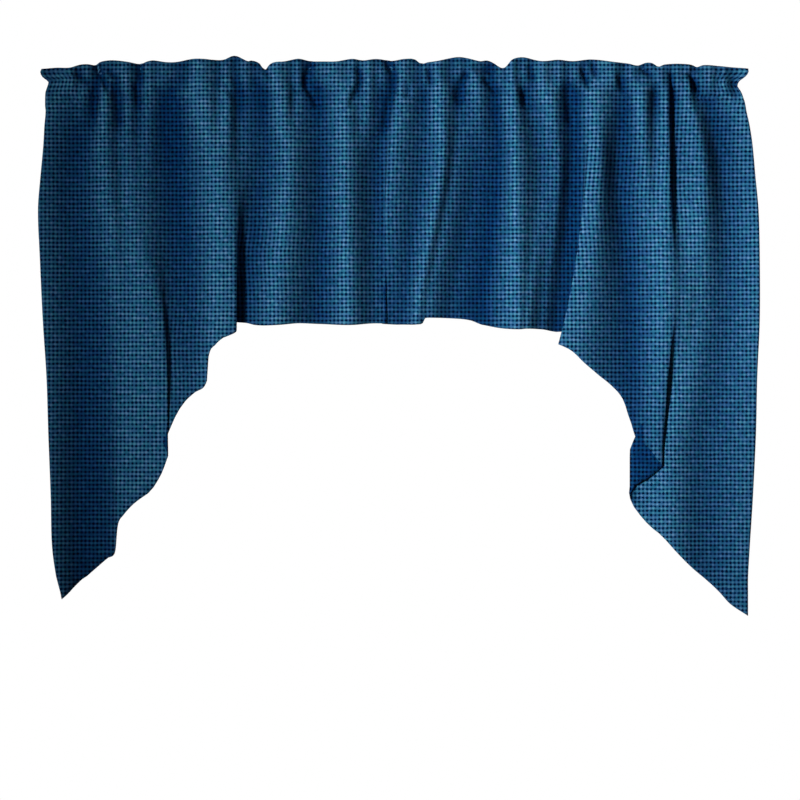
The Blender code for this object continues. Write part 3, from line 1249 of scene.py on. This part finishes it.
    def map_weave(self, mesh: bpy.types.Mesh, grid: Grid) -> None:
        """Give each point its place across and down the weave, in metres, as the UV map.

        Args:
            mesh: The cloth's middle surface.
            grid: The points that it was made from.
        """
        weave = np.stack([grid.woven, grid.down], axis=2).reshape(-1, 2)
        corners = np.empty(len(mesh.loops), np.int32)
        mesh.loops.foreach_get("vertex_index", corners)
        layer = mesh.uv_layers.new(name=self.UV_NAME)
        layer.data.foreach_set("uv", weave[corners].astype(np.float32).ravel())

    def hem_share(self, grid: Grid) -> np.ndarray:
        """Find the turned hem along the lower and the side edges.

        Args:
            grid: The cloth's points.

        Returns:
            1 for a point on the hem, 0 elsewhere.
        """
        below = np.abs(grid.down - grid.down[-1])
        aside = np.minimum(grid.across - grid.across[:, :1], grid.across[:, -1:] - grid.across)
        return (np.minimum(below, aside) <= self.hem_width * MM).astype(float)

    def thicken(self, piece: bpy.types.Object, grid: Grid) -> None:
        """Give the cloth its thickness, fuller where its hem is turned in behind.

        Args:
            piece: The cloth's middle surface.
            grid: The points that it was made from.
        """
        hem = self.hem_share(grid).ravel()
        plain = self.thickness / self.hem_thickness
        group = piece.vertex_groups.new(name="fullness")
        for value, chosen in ((1.0, hem > 0.5), (plain, hem <= 0.5)):
            group.add(np.flatnonzero(chosen).tolist(), value, "REPLACE")
        wall = piece.modifiers.new("wall", "SOLIDIFY")
        wall.thickness = self.hem_thickness * MM
        wall.offset = -1.0
        wall.vertex_group = group.name
        bpy.ops.object.select_all(action="DESELECT")
        bpy.context.view_layer.objects.active = piece
        piece.select_set(True)
        bpy.ops.object.modifier_apply(modifier=wall.name)
        piece.select_set(False)

    def mark_fold_shade(self, mesh: bpy.types.Mesh, grid: Grid) -> None:
        """Mark how much painted shade each point gets from how deep in a fold it lies, on the front and on
        the back.

        Args:
            mesh: The finished cloth, with the points of its front first.
            grid: The points that it was made from.
        """
        layout = self.layout
        fall = (layout.stitch_height - grid.height) / (layout.stitch_height - layout.upper_height)
        reach = self.gather_reach + (self.fold_reach - self.gather_reach) * smooth_step(fall)
        # Points lying further back in a fold get more painted shade.
        inward_shade = np.clip(0.5 - grid.out / (2.0 * reach), 0.0, 1.0)
        # Less painted shade on the right tail's last layer under the tuck.
        inward_shade *= 1.0 - self.tuck_shade_cut * self.shade_cut_under_tuck(grid.height)
        # Cloth turned back on itself gets the full painted shade on the side that faces out.
        turned = np.gradient(grid.points[..., 0], axis=1) < 0.0
        faces = [np.where(turned, 1.0, side).ravel() for side in (inward_shade, 1.0 - inward_shade)]
        depth = np.concatenate(faces)
        marks = mesh.attributes.new(self.FOLD_SHADE_NAME, "FLOAT", "POINT")
        marks.data.foreach_set("value", depth[: len(mesh.vertices)].astype(np.float32))

    def shade_cut_under_tuck(self, height: np.ndarray) -> np.ndarray:
        """Find where the painted fold shade is lightened: the right tail's last layer, under the tuck beside
        it.

        Args:
            height: Height of every point.

        Returns:
            1 there and 0 elsewhere.
        """
        first, last = self.tuck_places
        places = np.array(self.places())
        coming, going = self.tuck_edges
        near = smooth_step((places - first) / coming) * smooth_step((last - places) / going)
        return near * smooth_step((self.tuck_height - height) / self.rest_fade)

    def declare(self, piece: bpy.types.Object, grid: Grid, stitches: bpy.types.Object) -> None:
        """Hang the piece on the root body and hide the panel and heading parts that it stands in for.

        Args:
            piece: The finished cloth.
            grid: Not used.
            stitches: Not used.
        """
        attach(piece, "root")
        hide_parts("panel", "heading")

    @staticmethod
    def flat_area(grid: Grid) -> float:
        """Measure the flat cut.

        Args:
            grid: The cloth's points.

        Returns:
            Its area, in square metres.
        """
        drop = grid.down[0] - grid.down[-1]
        widths = np.diff(grid.across[-1])
        return float((widths * (drop[:-1] + drop[1:]) / 2.0).sum())


@dataclass
class Stitching:
    """Rows of stitches that close the rod pocket, on the front and on the back.

    bend is the share of a stitch's length from its middle to where it turns down at either end.
    rise and dip are shares of the thread's radius, and end_size the share left of its thickness.
    """

    pitch: float = 4.6
    length: float = 3.3
    radius: float = 0.32
    sides: int = 5
    bend: float = 0.25
    rise: float = 0.6
    dip: float = 0.9
    end_size: float = 0.6

    def build(self, cloth: ValanceCloth, grid: Grid, finish: SewingThread) -> bpy.types.Object:
        """Make the stitches.

        Args:
            cloth: The cloth that they hold.
            grid: Its points.
            finish: The thread.

        Returns:
            One piece that holds every stitch.
        """
        stations = cloth.stations()[:, 0]
        half = cloth.heading_rows // 2
        header = cloth.pocket_half_height
        front_header = half + int(np.argmin(np.abs(stations[half:] - header)))
        back_header = int(np.argmin(np.abs(stations[:half] - header)))
        stitch = self.model_stitch()
        seams = bmesh.new()
        for row in (front_header, cloth.heading_rows - 1, back_header, 1):
            for place in self.places(grid.points[row], grid.normals[row]):
                copy = stitch.copy()
                copy.transform(place)
                seams.from_mesh(copy)
                bpy.data.meshes.remove(copy)
        bpy.data.meshes.remove(stitch)
        data = bpy.data.meshes.new("pocket_stitches")
        seams.to_mesh(data)
        seams.free()
        data.materials.append(finish.material())
        data.shade_smooth()
        piece = bpy.data.objects.new("pocket_stitches", data)
        bpy.context.scene.collection.objects.link(piece)
        return piece

    def model_stitch(self) -> bpy.types.Mesh:
        """Model one stitch along X, which rises from the cloth and dips back into it.

        Returns:
            The stitch's mesh, with its middle at the origin.
        """
        bpy.ops.object.select_all(action="DESELECT")
        bpy.ops.mesh.primitive_cylinder_add(
            vertices=self.sides,
            radius=self.radius * MM,
            depth=self.length * MM,
            location=(0.0, 0.0, self.rise * self.radius * MM),
            rotation=(math.pi, math.pi / 2.0, 0.0),
        )
        thread = bpy.context.active_object
        bpy.ops.object.transform_apply(location=True, rotation=True, scale=True)
        bpy.ops.object.mode_set(mode="EDIT")
        bpy.ops.mesh.select_mode(type="VERT")
        for side in (-1.0, 1.0):
            bpy.ops.mesh.select_all(action="SELECT")
            cut = (side * self.bend * self.length * MM, 0.0, 0.0)
            bpy.ops.mesh.bisect(plane_co=cut, plane_no=(1.0, 0.0, 0.0))
        bpy.ops.mesh.select_all(action="DESELECT")
        shape = bmesh.from_edit_mesh(thread.data)
        beyond_bend = (self.bend + 0.5) / 2.0 * self.length * MM
        for vertex in shape.verts:
            vertex.select = abs(vertex.co.x) > beyond_bend
        shape.select_flush_mode()
        bmesh.update_edit_mesh(thread.data)
        middle = (0.0, 0.0, self.rise * self.radius * MM)
        bpy.ops.transform.resize(value=(1.0, self.end_size, self.end_size), center_override=middle)
        bpy.ops.transform.translate(value=(0.0, 0.0, -self.dip * self.radius * MM))
        bpy.ops.object.mode_set(mode="OBJECT")
        stitch = thread.data
        bpy.data.objects.remove(thread)
        return stitch

    def places(self, line: np.ndarray, normals: np.ndarray) -> list[Matrix]:
        """Find the places of one row of stitches.

        Args:
            line: Points of the cloth along the row.
            normals: The cloth's outward normals there.

        Returns:
            Each stitch's place, as the matrix that brings it there from the origin.
        """
        run = np.concatenate([[0.0], np.cumsum(np.linalg.norm(np.diff(line, axis=0), axis=1))])
        found = []
        for start in np.arange(self.pitch * MM, run[-1] - self.pitch * MM, self.pitch * MM):
            end = start + self.length * MM
            first = self.read(run, line, start)
            last = self.read(run, line, end)
            outward = self.read(run, normals, (start + end) / 2.0).normalized()
            along = last - first
            beside = outward.cross(along).normalized()
            turned = Matrix((along / (self.length * MM), beside, outward)).transposed()
            found.append(Matrix.Translation((first + last) / 2.0) @ turned.to_4x4())
        return found

    @staticmethod
    def read(run: np.ndarray, values: np.ndarray, place: float) -> Vector:
        """Value at a distance along a line."""
        return Vector([float(np.interp(place, run, values[:, axis])) for axis in range(3)])

    def declare(self, piece: bpy.types.Object) -> None:
        """Hang the stitches on the root body."""
        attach(piece, "root")


@dataclass(frozen=True)
class SoftBox:
    """One studio light."""

    name: str
    place: tuple[float, float, float]
    width: float
    height: float
    power: float
    aim: tuple[float, float, float] = (0.0, 0.0, -0.35)
    spread: float = 180.0


@dataclass
class Studio:
    """Pale floor, soft lights, white surroundings and the camera at the photograph's view."""

    view_across: float = 9.0
    view_height: float = -521.8
    view_width: float = 1312.8
    camera_distance: float = 12000.0
    sensor_width: float = 36.0
    floor_height: float = -1450.0
    floor_radius: float = 1500.0
    floor_sides: int = 96
    floor_colour: Colour = (0.86, 0.86, 0.85, 1.0)
    floor_roughness: float = 0.9
    floor_lift: float = 0.55
    surround_colour: Colour = (1.0, 1.0, 1.0, 1.0)
    fill_strength: float = 0.035
    lights: tuple[SoftBox, ...] = (
        SoftBox("key_light", (-2.2, -3.3, -0.05), 0.6, 0.6, 13.0, (0.6, 0.0, -0.32), 36.0),
        SoftBox("front_light", (0.6, -3.8, 0.5), 1.6, 1.2, 2.5),
        SoftBox("back_light", (1.8, 3.0, 0.9), 1.8, 1.4, 75.0),
    )

    def build(self) -> None:
        """Make the whole studio."""
        self.floor()
        for light in self.lights:
            self.light(light)
        self.surroundings()
        self.camera()
        bpy.context.scene.view_settings.view_transform = "Standard"

    def floor(self) -> None:
        """Lay a round pale floor below the tails."""
        bpy.ops.object.select_all(action="DESELECT")
        bpy.ops.mesh.primitive_circle_add(
            vertices=self.floor_sides,
            radius=self.floor_radius * MM,
            fill_type="NGON",
            location=(0.0, 0.0, self.floor_height * MM),
        )
        floor = bpy.context.active_object
        floor.name = "studio_floor"
        material = bpy.data.materials.new("pale_floor")
        material.use_nodes = True
        shader = material.node_tree.nodes["Principled BSDF"]
        shader.inputs["Base Color"].default_value = self.floor_colour
        shader.inputs["Roughness"].default_value = self.floor_roughness
        shader.inputs["Emission Color"].default_value = self.floor_colour
        tree = NodeTree(material.node_tree)
        seen = tree.add("ShaderNodeLightPath").outputs["Is Camera Ray"]
        tree.link(tree.maths("MULTIPLY", seen, self.floor_lift), shader.inputs["Emission Strength"])
        floor.data.materials.append(material)
        floor.select_set(False)

    def light(self, box: SoftBox) -> None:
        """Hang one soft box.

        Args:
            box: Its place, size, power and aim.
        """
        data = bpy.data.lights.new(box.name, "AREA")
        data.shape = "RECTANGLE"
        data.size = box.width
        data.size_y = box.height
        data.energy = box.power
        data.spread = math.radians(box.spread)
        lamp = bpy.data.objects.new(box.name, data)
        bpy.context.scene.collection.objects.link(lamp)
        lamp.location = box.place
        lamp.rotation_mode = "QUATERNION"
        lamp.rotation_quaternion = (Vector(box.aim) - lamp.location).to_track_quat("-Z", "Y")
        lamp.visible_camera = False

    def surroundings(self) -> None:
        """White behind the object, and a dim even light from all round."""
        world = bpy.data.worlds.new("white_surroundings")
        world.use_nodes = True
        bpy.context.scene.world = world
        nodes = world.node_tree.nodes
        links = world.node_tree.links
        seen = nodes["Background"]
        seen.inputs["Color"].default_value = self.surround_colour
        fill = nodes.new("ShaderNodeBackground")
        fill.inputs["Color"].default_value = self.surround_colour
        fill.inputs["Strength"].default_value = self.fill_strength
        mix = nodes.new("ShaderNodeMixShader")
        path = nodes.new("ShaderNodeLightPath")
        links.new(path.outputs["Is Camera Ray"], mix.inputs[0])
        links.new(fill.outputs["Background"], mix.inputs[1])
        links.new(seen.outputs["Background"], mix.inputs[2])
        links.new(mix.outputs["Shader"], nodes["World Output"].inputs["Surface"])

    def camera(self) -> None:
        """Set the camera square on to the cloth, as far back as the photograph looks."""
        data = bpy.data.cameras.new("photo_view")
        data.sensor_width = self.sensor_width
        data.lens = self.sensor_width * self.camera_distance / self.view_width
        camera = bpy.data.objects.new("photo_view", data)
        bpy.context.scene.collection.objects.link(camera)
        camera.location = (self.view_across * MM, -self.camera_distance * MM, self.view_height * MM)
        camera.rotation_euler = (math.pi / 2.0, 0.0, 0.0)
        bpy.context.scene.camera = camera


def main() -> None:
    """Build the studio, the cloth and its stitches, and report each."""
    logging.basicConfig(level=logging.INFO, format="%(message)s")
    Studio().build()
    cloth = ValanceCloth()
    piece, grid = cloth.build(BasketWeave())
    LOG.info("%s: %d faces", piece.name, len(piece.data.polygons))
    stitching = Stitching()
    stitches = stitching.build(cloth, grid, SewingThread())
    LOG.info("%s: %d faces", stitches.name, len(stitches.data.polygons))
    stitching.declare(stitches)
    cloth.declare(piece, grid, stitches)


if __name__ == "__main__":
    main()
